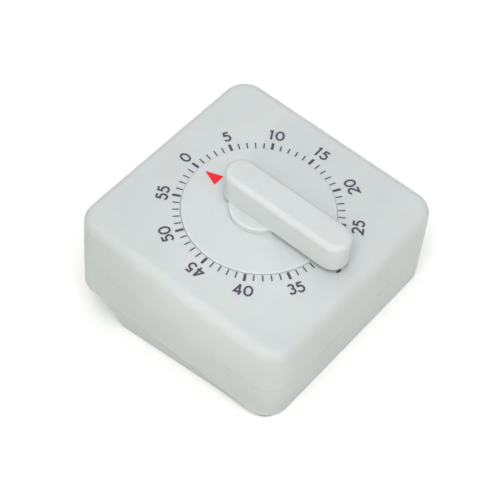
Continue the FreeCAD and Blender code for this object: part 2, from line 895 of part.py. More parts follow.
def make_sawtooth_wheel(name, teeth, tip, depth, level, thick, bore, lean):
    """A wheel with pointed teeth, for a ratchet, a star or an escapement."""
    piece = Piece(name)
    blank = piece.sketch(level=level)
    draw_circle(blank, tip)
    draw_circle(blank, bore)
    piece.pad(blank, thick)
    gap = piece.sketch(level=f"{level} + {thick}")
    pitch_angle = f"360 deg / {teeth}"
    beyond = f"{tip} + 0.4"
    draw_outline(
        gap,
        [
            (f"{tip} - {depth}", 0),
            (beyond, f"-({beyond}) * tan({pitch_angle}) * {lean}"),
            (beyond, f"({beyond}) * tan({pitch_angle}) * {0.9 - lean}"),
        ],
    )
    cut = piece.cut(gap, thick)
    piece.repeat(cut, gap, teeth)
    return piece


def make_train():
    make_wheel(
        "great_wheel", "great_teeth", "great_module", "great_level", "great_thick",
        "arbor_radius", 5, "great_rim",
    )
    stand("great_wheel", MAIN, tooth_at(SECOND_DIRECTION, size("great_teeth")))
    make_pinion(
        "second_pinion", "second_leaves", "great_module", "great_level", "great_thick",
        "train_arbor + 0.2", "train_pivot + 0.2",
    )
    stand("second_pinion", SECOND, gap_at(SECOND_DIRECTION + 180, size("second_leaves")))
    make_sawtooth_wheel(
        "ratchet_wheel", "ratchet_teeth", "ratchet_tip", "ratchet_depth", "ratchet_level",
        "great_thick", "train_arbor + 0.2", 0.1,
    )
    stand("ratchet_wheel", SECOND)
    make_wheel(
        "second_wheel", "second_teeth", "second_module", "second_level", "wheel_thick",
        "train_arbor + 0.2 + bearing_gap", 4, "second_rim",
    )
    stand("second_wheel", SECOND, tooth_at(THIRD_DIRECTION, size("second_teeth")))
    make_pinion(
        "third_pinion", "third_leaves", "second_module", "second_level", "wheel_thick",
        "train_arbor - 0.1", "train_pivot",
    )
    stand("third_pinion", THIRD, gap_at(THIRD_DIRECTION + 180, size("third_leaves")))
    make_wheel(
        "third_wheel", "third_teeth", "third_module", "third_level", "wheel_thick",
        "train_arbor - 0.1", 4, "third_rim",
    )
    stand("third_wheel", THIRD, tooth_at(ESCAPE_DIRECTION, size("third_teeth")))
    make_pinion(
        "escape_pinion", "escape_leaves", "third_module", "third_level", "wheel_thick",
        "train_arbor - 0.3", "train_pivot - 0.1",
    )
    stand("escape_pinion", ESCAPE, gap_at(ESCAPE_DIRECTION + 180, size("escape_leaves")))
    make_sawtooth_wheel(
        "escape_wheel", "escape_teeth", "escape_tip", "escape_depth", "escape_level",
        "wheel_thick", "train_arbor - 0.3", 0.3,
    )
    stand("escape_wheel", ESCAPE)
    make_pinion(
        "alarm_pinion", "second_leaves", "great_module", "great_level", "great_thick",
        "train_arbor", "train_pivot",
    )
    stand("alarm_pinion", ALARM, gap_at(ALARM_DIRECTION + 180, size("second_leaves")))
    make_sawtooth_wheel(
        "star_wheel", "star_teeth", "star_tip", "star_depth", "cam_level",
        "great_thick", "train_arbor", 0.3,
    )
    stand("star_wheel", ALARM)


def make_alarm_cam():
    piece = Piece("alarm_cam")
    blank = piece.sketch(level="cam_level")
    draw_circle(blank, "cam_radius")
    draw_circle(blank, "arbor_radius")
    piece.pad(blank, "great_thick")
    notch = piece.sketch(level="cam_level + great_thick")
    draw_outline(
        notch,
        [
            ("cam_radius - cam_notch", -1.4),
            ("cam_radius + 1", -2.2),
            ("cam_radius + 1", 2.2),
            ("cam_radius - cam_notch", 1.4),
        ],
    )
    piece.cut(notch, "great_thick")
    direction = math.degrees(math.atan2(TRIP_FINGER[1], TRIP_FINGER[0]))
    stand("alarm_cam", MAIN, direction)


def make_mainspring():
    """The mainspring strip: an even spiral, closed by two rims, raised along Z."""
    inner, outer = size("spring_inner"), size("spring_outer")
    turns, half = size("spring_turns"), size("spring_strip") / 2
    start = math.radians(SPRING_POST_DIRECTION) - 2 * math.pi * turns
    steps = int(turns * 24)

    def rim(offset):
        points = []
        for step in range(steps + 1):
            share = step / steps
            radius = inner + (outer - inner) * share + offset
            angle = start + 2 * math.pi * turns * share
            x, y = radius * math.cos(angle), radius * math.sin(angle)
            points.append(FreeCAD.Vector(x, y, size("spring_low")))
        curve = Part.BSplineCurve()
        curve.interpolate(points)
        return curve.toShape(), points[0], points[-1]

    inside, inside_start, inside_end = rim(-half)
    outside, outside_start, outside_end = rim(half)
    caps = [
        Part.makeLine(inside_start, outside_start),
        Part.makeLine(inside_end, outside_end),
    ]
    wire = Part.Wire(Part.__sortEdges__([inside, caps[1], outside, caps[0]]))
    strip = Part.Face(wire).extrude(FreeCAD.Vector(0, 0, size("spring_width")))
    spring = document.addObject("Part::Feature", "mainspring")
    spring.Shape = strip
    keep("mainspring", spring)


# ---------------------------------------------------------------- plates and posts


def plate_outline(sketch):
    half = "plate_half"
    flat = "(plate_half - plate_chamfer)"
    draw_outline(
        sketch,
        [
            (flat, f"-{half}"),
            (half, f"-{flat}"),
            (half, flat),
            (flat, half),
            (f"-{flat}", half),
            (f"-{half}", flat),
            (f"-{half}", f"-{flat}"),
            (f"-{flat}", f"-{half}"),
        ],
    )


def make_plate(name, level, round_holes):
    piece = Piece(name)
    blank = piece.sketch(level=level)
    plate_outline(blank)
    piece.pad(blank, "plate_thick")
    holes = piece.sketch(level=f"{level} + plate_thick")
    for (x, y), radius in round_holes:
        draw_circle(holes, radius, x, y)
    piece.cut(holes, "plate_thick")
    return piece


def make_plates():
    train = [
        (SECOND, "train_pivot + 0.2 + bearing_gap"),
        (THIRD, "train_pivot + bearing_gap"),
        (ESCAPE, "train_pivot - 0.1 + bearing_gap"),
        (PALLET, "train_pivot + bearing_gap"),
        (ALARM, "train_pivot + bearing_gap"),
    ]
    front = train + [(MAIN, "arbor_radius + bearing_gap")]
    front += [(place, "pillar_tenon") for place in PILLARS]
    front += [(place, "movement_thread + 0.15") for place in MOVEMENT_SCREWS]
    front += [(SPRING_POST, "post_radius"), (HAMMER, "train_pivot + bearing_gap")]
    make_plate("front_plate", "front_plate", front)
    rear = train + [(MAIN, "main_pivot + bearing_gap")]
    rear += [(place, "stud_bore + 0.1") for place in PILLARS]
    rear += [(HAMMER, "train_arbor + bearing_gap")]
    rear += [(STOP_POST, "stop_pin"), (TRIP, "post_radius")]
    make_plate("rear_plate", "rear_plate", rear)


def make_posts():
    gap = "front_plate - rear_plate - plate_thick"
    pillars = []
    for place, (x, y) in enumerate(PILLARS):
        post = cylinder(f"pillar{place}", "pillar_radius", "rear_plate + plate_thick", gap, x, y)
        tenon = cylinder(f"tenon{place}", "pillar_tenon", "front_plate", "plate_thick", x, y)
        whole = joined(f"pillar_body{place}", [post, tenon])
        bore = cylinder(
            f"pillar_bore{place}", "stud_bore", "rear_plate + plate_thick", "pillar_screw_reach", x, y
        )
        pillars.append(without(f"bored_pillar{place}", whole, bore))
    group("plate_pillars", pillars)

    post = cylinder("spring_post_body", "post_radius + 0.2", "spring_low - 0.2",
                    "front_plate - spring_low + 0.2", *SPRING_POST)
    tenon = cylinder("spring_post_tenon", "post_radius", "front_plate", "plate_thick",
                     *SPRING_POST)
    keep("spring_post", joined("spring_post", [post, tenon]))

    stop = cylinder("stop_post", "stop_pin", "rear_plate", "great_level - stop_gap - rear_plate",
                    *STOP_POST)
    keep("stop_post", stop)
    blocked = math.degrees(2 * size("stop_pin") / size("stop_radius"))
    pin_place = polar(size("stop_radius"), STOP_DIRECTION - blocked - size("stop_gap"))
    pin = cylinder("dial_stop_pin", "stop_pin", "great_level - stop_pin_length",
                   "stop_pin_length", *pin_place)
    keep("dial_stop_pin", pin)


def screw(name, head_radius, head_bottom, head_height, shank_radius, reach, x, y):
    """A slotted screw whose head is at its lower end."""
    head = cylinder(f"{name}_head", head_radius, head_bottom, head_height, x, y)
    shank = cylinder(f"{name}_shank", shank_radius, f"({head_bottom}) + {head_height}", reach, x, y)
    whole = joined(f"{name}_whole", [head, shank])
    slot = document.addObject("Part::Box", f"{name}_slot")
    slot.Length = 2 * number(head_radius) + 1
    slot.Width = number(head_radius) * 0.28
    slot.Height = number(head_height) * 0.45
    slot.Placement.Base = FreeCAD.Vector(
        x - slot.Length.Value / 2, y - slot.Width.Value / 2, number(head_bottom)
    )
    return without(name, whole, slot)


def make_screws():
    group("case_screws", [
        screw(f"case_screw{place}", "case_head", "case_head_level - case_head_height",
              "case_head_height", "case_thread", "case_screw_reach", x, y)
        for place, (x, y) in enumerate(CASE_SCREWS)
    ])
    group("movement_screws", [
        screw(f"movement_screw{place}", "movement_head", "front_plate - movement_head_height",
              "movement_head_height", "movement_thread", "movement_screw_reach", x, y)
        for place, (x, y) in enumerate(MOVEMENT_SCREWS)
    ])
    group("pillar_screws", [
        screw(f"pillar_screw{place}", "pillar_head", "rear_plate - pillar_head_height",
              "pillar_head_height", "stud_bore", "pillar_screw_reach", x, y)
        for place, (x, y) in enumerate(PILLARS)
    ])


# ---------------------------------------------------------------- click, pallets and alarm


def make_click():
    """The one-way click, its pin and its leaf spring, all carried by the second wheel."""
    level = "ratchet_level"
    blade = arm("click_arm", CLICK_PIVOT, CLICK_TOE, "click_half", level, "click_thick")
    blade.append(cylinder("click_eye", "click_eye", level, "click_thick", *CLICK_PIVOT))
    hole = cylinder("click_bore", "stop_pin + bearing_gap", f"{level} - 1", 4.0, *CLICK_PIVOT)
    keep("click", without("click", joined("click_blank", blade), hole))
    stand("click", SECOND)
    pin = cylinder("click_pin", "stop_pin", "ratchet_level - 0.1",
                   "second_level - ratchet_level + 0.1", *CLICK_PIVOT)
    keep("click_pin", pin)
    stand("click_pin", SECOND)
    leaf = arm("click_leaf", *CLICK_LEAF, "leaf_half", level, "click_leaf_width")
    leaf.append(cylinder("click_leaf_stud", "leaf_stud", level, "click_leaf_width", *CLICK_LEAF[0]))
    keep("click_spring", joined("click_spring", leaf))
    stand("click_spring", SECOND)


def make_pallets():
    """The rocking pallet lever, its staff and its two steel pins."""
    make_shaft("pallet_staff", "train_arbor - 0.3", "train_pivot", "rear_plate + pivot_sunk")
    stand("pallet_staff", PALLET)
    level = "escape_level - pallet_drop"
    bars = []
    for place, point in enumerate(PALLET_PINS):
        bars += arm(f"pallet_arm{place}", PALLET, point, "pallet_arm_half", level, "pallet_arm_thick")
    for place, point in enumerate(BALANCE_WEIGHTS):
        bars += arm(f"balance_arm{place}", PALLET, point, "balance_half", level, "pallet_arm_thick")
        bars.append(
            cylinder(f"balance_weight{place}", "balance_weight", level, "balance_thick", *point)
        )
    bars.append(cylinder("pallet_boss", "pallet_boss", level, "pallet_drop", *PALLET))
    whole = joined("pallet_blank", bars)
    below = f"{level} - 1"
    bore = cylinder("pallet_bore", "train_arbor - 0.3", below, 4.0, *PALLET)
    bored = without("pallet_bored", whole, bore)
    holes = [cylinder(f"pallet_pin_hole{place}", "pallet_pin", below, 4.0, *point)
             for place, point in enumerate(PALLET_PINS)]
    keep("pallet_lever", without("pallet_lever", bored, joined("pallet_pin_holes", holes)))
    group("pallet_pins", [
        cylinder(f"pallet_pin{place}", "pallet_pin", level, "pallet_pin_length", *point)
        for place, point in enumerate(PALLET_PINS)
    ])


def make_shaft(name, shaft, pivot, low):
    piece = Piece(name)
    profile = piece.sketch("XZ_Plane")
    front_shoulder = "front_plate - end_play"
    rear_shoulder = "rear_plate + plate_thick + end_play"
    draw_outline(
        profile,
        [
            (0, low),
            (pivot, low),
            (pivot, rear_shoulder),
            (shaft, rear_shoulder),
            (shaft, front_shoulder),
            (pivot, front_shoulder),
            (pivot, "front_plate + plate_thick - pivot_sunk"),
            (0, "front_plate + plate_thick - pivot_sunk"),
        ],
    )
    piece.spin(profile)
    return piece


def make_hammer():
    """Staff through the rear plate, kick lever between the plates, arm and head behind."""
    piece = Piece("hammer_staff")
    profile = piece.sketch("XZ_Plane")
    front_shoulder = "front_plate - end_play"
    draw_outline(
        profile,
        [
            (0, "hammer_level"),
            ("train_arbor", "hammer_level"),
            ("train_arbor", front_shoulder),
            ("train_pivot", front_shoulder),
            ("train_pivot", "front_plate + plate_thick - pivot_sunk"),
            (0, "front_plate + plate_thick - pivot_sunk"),
        ],
    )
    piece.spin(profile)
    stand("hammer_staff", HAMMER)

    away = math.hypot(HAMMER[0] - ALARM[0], HAMMER[1] - ALARM[1])
    reach = away - size("star_tip") - size("lever_half") - size("kick_gap")
    share = reach / away
    kick = (HAMMER[0] + (ALARM[0] - HAMMER[0]) * share, HAMMER[1] + (ALARM[1] - HAMMER[1]) * share)
    level = "cam_level"
    bars = arm("kick_arm", HAMMER, kick, "lever_half", level, "lever_thick")
    bars += arm("lock_arm", HAMMER, LOCK_TIP, "lever_half", level, "lever_thick")
    bars.append(cylinder("kick_boss", "lever_boss", level, "lever_thick + 0.8", *HAMMER))
    bore = cylinder("kick_bore", "train_arbor", "hammer_level", 8.0, *HAMMER)
    keep("kick_lever", without("kick_lever", joined("kick_blank", bars), bore))

    bars = arm("hammer_bar", HAMMER, HAMMER_HEAD, "hammer_half", "hammer_level", "lever_thick")
    bars.append(cylinder("hammer_boss", "lever_boss", "hammer_level", "lever_thick", *HAMMER))
    whole = joined("hammer_blank", bars)
    bores = joined("hammer_bores", [
        cylinder("hammer_bore", "train_arbor", "hammer_level - 1", 4.0, *HAMMER),
        cylinder("hammer_rivet_bore", "hammer_rivet", "hammer_level - 1", 4.0, *HAMMER_HEAD),
    ])
    keep("hammer_arm", without("hammer_arm", whole, bores))
    head = joined("hammer_head", [
        cylinder("hammer_weight", "hammer_weight", "hammer_level - hammer_drop", "hammer_drop",
                 *HAMMER_HEAD),
        cylinder("hammer_rivet", "hammer_rivet", "hammer_level", "lever_thick", *HAMMER_HEAD),
    ])
    keep("hammer_head", head)


def make_trip_lever():
    """The lever that reads the cam and holds the hammer back, with its pivot pin."""
    level = "cam_level"
    half = "lever_half"
    bars = arm("finger_arm", TRIP, TRIP_ELBOW, half, level, "lever_thick")
    bars += arm("finger", TRIP_ELBOW, TRIP_FINGER, half, level, "lever_thick")
    bars += arm("drop_arm", TRIP, TRIP_BEND, half, level, "lever_thick")
    bars += arm("block_arm", TRIP_BEND, TRIP_KNEE, half, level, "lever_thick")
    bars += arm("block_tip", TRIP_KNEE, TRIP_BLOCK, f"{half} - 0.1", level, "lever_thick")
    bars.append(cylinder("trip_boss", "lever_boss - 0.2", level, "lever_thick", *TRIP))
    bore = cylinder("trip_bore", "post_radius + bearing_gap", "rear_plate", 8.0, *TRIP)
    keep("trip_lever", without("trip_lever", joined("trip_blank", bars), bore))
    post = cylinder("trip_post_shaft", "post_radius", "rear_plate",
                    "cam_level + lever_thick + 0.7 - rear_plate", *TRIP)
    keep("trip_post", post)


def make_leaf_spring(name, start, end):
    """A leaf spring standing on edge on the rear plate, held at its start by a round stud."""
    level = "rear_plate + plate_thick"
    stud = cylinder(f"{name}_stud", "spring_stud", level, "spring_leaf_width", *start)
    leaf = arm(f"{name}_leaf", start, end, "leaf_half", level, "spring_leaf_width")
    keep(name, joined(name, leaf + [stud]))


def make_bell():
    piece = Piece("bell")
    profile = piece.sketch("XZ_Plane")
    r, wall, mouth, top = "bell_radius", "bell_wall", "bell_mouth", "bell_top"
    shoulder = "bell_shoulder"
    draw_outline(
        profile,
        [
            ("stud_bore", top),
            (f"{r} - {shoulder}", top),
            (f"{r} - 0.4 * {shoulder}", f"{top} + 0.3 * {shoulder}"),
            (r, f"{top} + {shoulder}"),
            (r, mouth),
            (f"{r} - {wall}", mouth),
            (f"{r} - {wall}", f"{top} + {shoulder}"),
            (f"{r} - 0.4 * {shoulder} - {wall}", f"{top} + 0.3 * {shoulder} + {wall}"),
            (f"{r} - {shoulder} - 0.3 * {wall}", f"{top} + {wall}"),
            ("stud_bore", f"{top} + {wall}"),
        ],
    )
    piece.spin(profile)

    stud = Piece("bell_stud")
    flange = stud.sketch(level="rear_plate - stud_flange_thick")
    draw_circle(flange, "stud_flange")
    stud.pad(flange, "stud_flange_thick")
    shank = stud.sketch(level="bell_top + bell_wall")
    draw_circle(shank, "stud_radius")
    stud.pad(shank, "rear_plate - stud_flange_thick - bell_top - bell_wall")
    bore = stud.sketch(level="bell_top + bell_wall + 4")
    draw_circle(bore, "stud_bore")
    stud.cut(bore, "4")

    washer = Piece("bell_washer")
    blank = washer.sketch(level="bell_top - washer_thick")
    draw_circle(blank, "washer_radius")
    draw_circle(blank, "stud_bore")
    washer.pad(blank, "washer_thick")
    head_bottom = "bell_top - washer_thick - bell_head_height"
    keep("bell_screw", screw("bell_screw", "bell_head", head_bottom, "bell_head_height",
                             "stud_bore", "bell_screw_reach", *MAIN))


# ---------------------------------------------------------------- assembly


def seat_placement():
    """Stand the timer on its foot: lean the face back and put the flat's middle at the origin."""
    tilt = size("foot_tilt")
    middle = (size("foot_crest") - size("case_width") / 2) / 2
    drop = (middle + size("case_width") / 2) * math.tan(math.radians(tilt))
    flat_middle = FreeCAD.Vector(0, middle, -size("rim_depth") - drop)
    lean = FreeCAD.Rotation(FreeCAD.Vector(1, 0, 0), tilt)
    return FreeCAD.Placement(-lean.multVec(flat_middle), lean)


def seat_pieces():
    seat = seat_placement()
    for name, item in nodes.items():
        (x, y), turn = places.get(name, (MAIN, 0.0))
        spin = FreeCAD.Rotation(FreeCAD.Vector(0, 0, 1), turn)
        stood = seat.multiply(FreeCAD.Placement(FreeCAD.Vector(x, y, 0), spin))
        item.Placement = stood.multiply(item.Placement)


def check_document():
    document.recompute()
    for item in document.Objects:
        if "Invalid" in item.State or "Error" in item.State:
            raise RuntimeError(f"{item.Name} failed: {item.State}")
    for name, item in nodes.items():
        shape = item.Shape
        if shape.isNull() or not shape.isValid() or not shape.Solids:
            raise RuntimeError(f"{name} has no valid solid")


def write_steps():
    os.makedirs("parts", exist_ok=True)
    for name, item in nodes.items():
        item.Shape.exportStep(f"parts/{name}.step")
        box = item.Shape.BoundBox
        solids = len(item.Shape.Solids)
        low = [round(v, 2) for v in (box.XMin, box.YMin, box.ZMin)]
        high = [round(v, 2) for v in (box.XMax, box.YMax, box.ZMax)]
        print(f"{name}: {solids} solid(s), {item.Shape.Volume:.1f} mm3, {low} to {high}")


make_front_case()
make_rear_case()
make_knob()
make_main_arbor()
make_alarm_cam()
make_mainspring()
make_train()
make_plates()
make_posts()
make_click()
make_pallets()
make_hammer()
make_trip_lever()
make_leaf_spring("hammer_spring", *HAMMER_SPRING)
make_leaf_spring("trip_spring", *TRIP_SPRING)
make_bell()
make_screws()
seat_pieces()
check_document()
write_steps()
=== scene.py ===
"""A square wind-up kitchen timer on a pale floor: finishes, printed dial scale, lights and camera."""

import json
import math

import bmesh
import bpy
from mathutils import Matrix, Vector


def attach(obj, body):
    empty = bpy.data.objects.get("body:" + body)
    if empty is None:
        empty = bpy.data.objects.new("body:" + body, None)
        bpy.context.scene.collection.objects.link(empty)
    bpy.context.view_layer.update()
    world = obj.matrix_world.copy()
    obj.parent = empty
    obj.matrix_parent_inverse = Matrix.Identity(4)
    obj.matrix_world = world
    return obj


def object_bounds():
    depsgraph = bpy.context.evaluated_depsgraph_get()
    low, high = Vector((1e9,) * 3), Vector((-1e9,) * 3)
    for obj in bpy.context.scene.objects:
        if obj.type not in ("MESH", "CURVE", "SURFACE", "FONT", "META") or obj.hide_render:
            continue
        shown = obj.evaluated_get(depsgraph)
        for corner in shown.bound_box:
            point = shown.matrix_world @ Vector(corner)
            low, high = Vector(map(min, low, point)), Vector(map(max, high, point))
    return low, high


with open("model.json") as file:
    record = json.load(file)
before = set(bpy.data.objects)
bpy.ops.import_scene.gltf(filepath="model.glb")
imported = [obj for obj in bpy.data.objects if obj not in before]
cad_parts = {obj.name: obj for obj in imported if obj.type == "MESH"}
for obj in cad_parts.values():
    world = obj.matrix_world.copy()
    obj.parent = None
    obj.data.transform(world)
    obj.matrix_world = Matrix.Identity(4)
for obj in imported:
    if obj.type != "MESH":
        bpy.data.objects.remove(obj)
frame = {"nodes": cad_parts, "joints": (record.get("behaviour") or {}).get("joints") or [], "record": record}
cad_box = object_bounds()

MM = 0.001

# ---------------------------------------------------------------- sizes, in millimetres on the dial's axes
# The dial's axes start at its centre on the case's front face: x to the 15, y to the 0, z out of the face.

# the ticks
MINUTES = 60
NUMBERED_STEP = 5
TICK_INNER = 21.3
NUMBERED_TICK_OUTER = 23.6
NUMBERED_TICK_WIDTH = 0.75
MINUTE_TICK_OUTER = 23.2
MINUTE_TICK_WIDTH = 0.36
TICK_CORNER = 0.12

# the numerals, which are turned over along the bottom of the dial so that they still read; the shift is the
# print's own small offset from the dial's centre, and a digit's width is a share of its height
NUMERAL_RADIUS = 26.5
NUMERAL_HEIGHT = 3.4
NUMERAL_STROKE = 0.56
NUMERAL_GAP = 0.22
NUMERAL_SHIFT = (0.2, -0.25)
DIGIT_WIDTHS = {"0": 0.76, "1": 0.60, "2": 0.68, "3": 0.64, "4": 0.72, "5": 0.66}
FIRST_INVERTED = 20
LAST_INVERTED = 40

# the ink film: how far it stands above its surface and reaches below it, and what each crossing stroke adds
INK_ABOVE = 0.022
INK_BELOW = 0.02
STROKE_STEP = 0.002

# how the outlines are drawn: how far a mitre may reach, and the steps in an arc, in the 0 and at a corner
MITRE_LIMIT = 0.35
ARC_STEPS = 14
ZERO_STEPS = 40
CORNER_STEPS = 4

# the surfaces that are printed on, and the pointer
FACE_TOP = 0.0
DISC_TOP = 0.3
POINTER_TIP = 19.1
POINTER_BASE = 14.15
POINTER_MIDDLE = 0.15
POINTER_HALF_WIDTH = 1.95
POINTER_CORNER = 0.22

# painted shade in the crease between the rear case's rim and its foot: its tint, and the depths where it
# starts, is full, begins to fade and has gone
CREASE_SHADE_TINT = (0.66, 0.63, 0.50)
CREASE_SHADE_DEPTHS = (-28.4, -28.6, -30.4, -31.0)

# ---------------------------------------------------------------- surfaces, in millimetres

# where on a noise's range the low colour ends and the high colour begins
COLOUR_STOPS = (0.3, 0.7)
PLASTIC_IOR = 1.46
PLASTIC_SCATTER = 0.7
PLASTIC_SCATTER_DEPTH = 1.6
SCATTER_RADII = (1.0, 0.85, 0.65)
PLASTIC_CLOUD = 9.0
PLASTIC_GLOSS_PATCH = 2.5
PLASTIC_WAVE = 14.0
PLASTIC_WAVE_HEIGHT = 0.012
INK_IOR = 1.48
INK_MOTTLE = 0.35
INK_GLOSS_PATCH = 0.8
INK_GRAIN = 0.25
INK_GRAIN_HEIGHT = 0.002
METAL_STREAK = 0.25
METAL_STAIN = 4.0
METAL_RELIEF = 0.004
FLOOR_CLOUD = 220.0
FLOOR_GLOSS_PATCH = 90.0

# ---------------------------------------------------------------- camera, light and floor

# the camera stands where the photograph was taken from: places and directions on the dial's axes
CAMERA_EYE = (-213.4, -145.5, 336.0)
CAMERA_TARGET = (-11.78, -6.65, 0.0)
CAMERA_UP = (0.5977, 0.5480, 0.5851)
CAMERA_LENS = 114.4
SENSOR_WIDTH = 36.0
CLIP_START = 0.01

# the sky, at the horizon and overhead, and how late it brightens between them
SKY_COLOURS = ((1.0, 0.975, 0.88, 1.0), (0.955, 0.985, 1.04, 1.0))
SKY_STRENGTHS = (0.06, 1.38)
SKY_POWER = 2.0

# the window and the lamp: directions, distances and the lamp's aim on the dial's axes, sizes in metres
WINDOW_DIRECTION = (-0.40, -0.24, 0.88)
WINDOW_DISTANCE = 1500.0
WINDOW_SIZE = 0.95
WINDOW_WATTS = 13.4
WINDOW_COLOUR = (0.96, 0.99, 1.05)
LAMP_DIRECTION = (-0.93, -0.16, 0.29)
LAMP_AIM = (0.0, -6.0, 9.0)
LAMP_DISTANCE = 500.0
LAMP_RADIUS = 0.03
LAMP_CONE = math.radians(5.5)
LAMP_WATTS = 8.2
LAMP_COLOUR = (1.0, 1.0, 0.97)

# the floor, in metres
FLOOR_HALF = 3.0
FLOOR_CELLS = 8


# ---------------------------------------------------------------- the dial's axes in the frame

def dial_axes():
    """The matrix from the dial's axes, in millimetres, to the frame, in metres."""
    turn = next(joint for joint in frame["joints"] if joint["name"] == "dial_turn")
    outward = -Vector(turn["axis"]).normalized()
    rightward = Vector((1.0, 0.0, 0.0))
    upward = outward.cross(rightward)
    turned = Matrix((rightward, upward, outward)).transposed().to_4x4()
    return Matrix.Translation(turn["pos_m"]) @ turned @ Matrix.Scale(MM, 4)


DIAL = dial_axes()


# ---------------------------------------------------------------- material helpers

# the mix node's sockets when it mixes colours: the factor and the two colours, and the result
MIX_INPUTS = (0, 6, 7)
MIX_OUTPUT = 2


class Finish:
    """A procedural material: one shader, and the noises that its colour, roughness and bump come from."""

    def __init__(self, name, metallic=0.0, ior=1.5):
        self.material = bpy.data.materials.new(name)
        self.material.use_nodes = True
        self.nodes = self.material.node_tree.nodes
        self.links = self.material.node_tree.links
        self.shader = self.nodes["Principled BSDF"]
        self.shader.inputs["Metallic"].default_value = metallic
        self.shader.inputs["IOR"].default_value = ior
        self.place = self.nodes.new("ShaderNodeTexCoord").outputs["Object"]

    def translucent(self, weight, depth_mm):
        """Light scatters inside the surface, red a little further than blue."""
        self.shader.inputs["Subsurface Weight"].default_value = weight
        self.shader.inputs["Subsurface Radius"].default_value = SCATTER_RADII
        self.shader.inputs["Subsurface Scale"].default_value = depth_mm * MM

    def stretched(self, scale):
        """The object's own coordinates, scaled unevenly so that a noise runs in streaks."""
        mapping = self.nodes.new("ShaderNodeMapping")
        mapping.inputs["Scale"].default_value = scale
        self.links.new(self.place, mapping.inputs["Vector"])
        return mapping.outputs["Vector"]

    def noise(self, size_mm, detail=2.0, place=None):
        """A noise whose features are about size_mm across."""
        noise = self.nodes.new("ShaderNodeTexNoise")
        noise.inputs["Scale"].default_value = 1.0 / (size_mm * MM)
        noise.inputs["Detail"].default_value = detail
        self.links.new(place or self.place, noise.inputs["Vector"])
        return noise.outputs["Fac"]

    def colours(self, factor, low, high):
        """The base colour runs from low to high with the factor."""
        ramp = self.nodes.new("ShaderNodeValToRGB")
        for element, stop, colour in zip(ramp.color_ramp.elements, COLOUR_STOPS, (low, high)):
            element.position = stop
            element.color = (*colour, 1.0)
        self.links.new(factor, ramp.inputs["Fac"])
        self.links.new(ramp.outputs["Color"], self.shader.inputs["Base Color"])

    def ranged(self, value, start, stop):
        """Runs smoothly from 0 to 1 as the value goes from start to stop."""
        span = self.nodes.new("ShaderNodeMapRange")
        span.interpolation_type = "SMOOTHSTEP"
        span.inputs["From Min"].default_value = start
        span.inputs["From Max"].default_value = stop
        self.links.new(value, span.inputs["Value"])
        return span.outputs["Result"]

    def grime(self, colour, unshaded_above, fully_shaded_above, fully_shaded_below, unshaded_below):
        """Painted shade that tints the base colour between depths, in millimetres along the dial's outward
        axis.
        """
        offset = self.nodes.new("ShaderNodeVectorMath")
        offset.operation = "SUBTRACT"
        offset.inputs[1].default_value = DIAL.translation
        self.links.new(self.place, offset.inputs[0])
        depth = self.nodes.new("ShaderNodeVectorMath")
        depth.operation = "DOT_PRODUCT"
        depth.inputs[1].default_value = DIAL.col[2].to_3d() / MM ** 2
        self.links.new(offset.outputs["Vector"], depth.inputs[0])
        both = self.nodes.new("ShaderNodeMath")
        both.operation = "MULTIPLY"
        self.links.new(self.ranged(depth.outputs["Value"], unshaded_above, fully_shaded_above), both.inputs[0])
        self.links.new(self.ranged(depth.outputs["Value"], unshaded_below, fully_shaded_below), both.inputs[1])
        # the painted shade's tint is multiplied into the base colour inside the band
        tint = self.nodes.new("ShaderNodeMix")
        tint.data_type = "RGBA"
        tint.blend_type = "MULTIPLY"
        share, unshaded_colour, shade_colour = (tint.inputs[index] for index in MIX_INPUTS)
        shade_colour.default_value = (*colour, 1.0)
        self.links.new(both.outputs["Value"], share)
        self.links.new(self.shader.inputs["Base Color"].links[0].from_socket, unshaded_colour)
        self.links.new(tint.outputs[MIX_OUTPUT], self.shader.inputs["Base Color"])

    def roughness(self, factor, low, high):
        """The roughness runs from low to high with the factor."""
        span = self.nodes.new("ShaderNodeMapRange")
        span.inputs["To Min"].default_value = low
        span.inputs["To Max"].default_value = high
        self.links.new(factor, span.inputs["Value"])
        self.links.new(span.outputs["Result"], self.shader.inputs["Roughness"])

    def bump(self, factor, height_mm):
        """Adds relief on top of any relief there already."""
        bump = self.nodes.new("ShaderNodeBump")
        bump.inputs["Strength"].default_value = 1.0
        bump.inputs["Distance"].default_value = height_mm * MM
        self.links.new(factor, bump.inputs["Height"])
        earlier = self.shader.inputs["Normal"].links
        if earlier:
            self.links.new(earlier[0].from_socket, bump.inputs["Normal"])
        self.links.new(bump.outputs["Normal"], self.shader.inputs["Normal"])


def moulded_plastic(name, low, high, roughness, grain_mm, grain_height_mm, crease_shade=None):
    """Satin moulded plastic: faint clouding, a fine spark-eroded grain, slight waves and perhaps a band of
    painted shade.
    """
    finish = Finish(name, ior=PLASTIC_IOR)
    finish.translucent(PLASTIC_SCATTER, PLASTIC_SCATTER_DEPTH)
    finish.colours(finish.noise(PLASTIC_CLOUD, detail=3.0), low, high)
    finish.roughness(finish.noise(PLASTIC_GLOSS_PATCH, detail=3.0), *roughness)
    finish.bump(finish.noise(grain_mm, detail=2.0), grain_height_mm)
    finish.bump(finish.noise(PLASTIC_WAVE, detail=1.0), PLASTIC_WAVE_HEIGHT)
    # an optional band of painted shade, darker in the crease under the rear case's rim
    if crease_shade:
        finish.grime(*crease_shade)
    return finish.material


def printed_ink(name, low, high, roughness):
    """A pad-printed ink film, slightly uneven where it took less ink."""
    finish = Finish(name, ior=INK_IOR)
    finish.colours(finish.noise(INK_MOTTLE, detail=3.0), low, high)
    finish.roughness(finish.noise(INK_GLOSS_PATCH, detail=2.0), *roughness)
    finish.bump(finish.noise(INK_GRAIN, detail=2.0), INK_GRAIN_HEIGHT)
    return finish.material


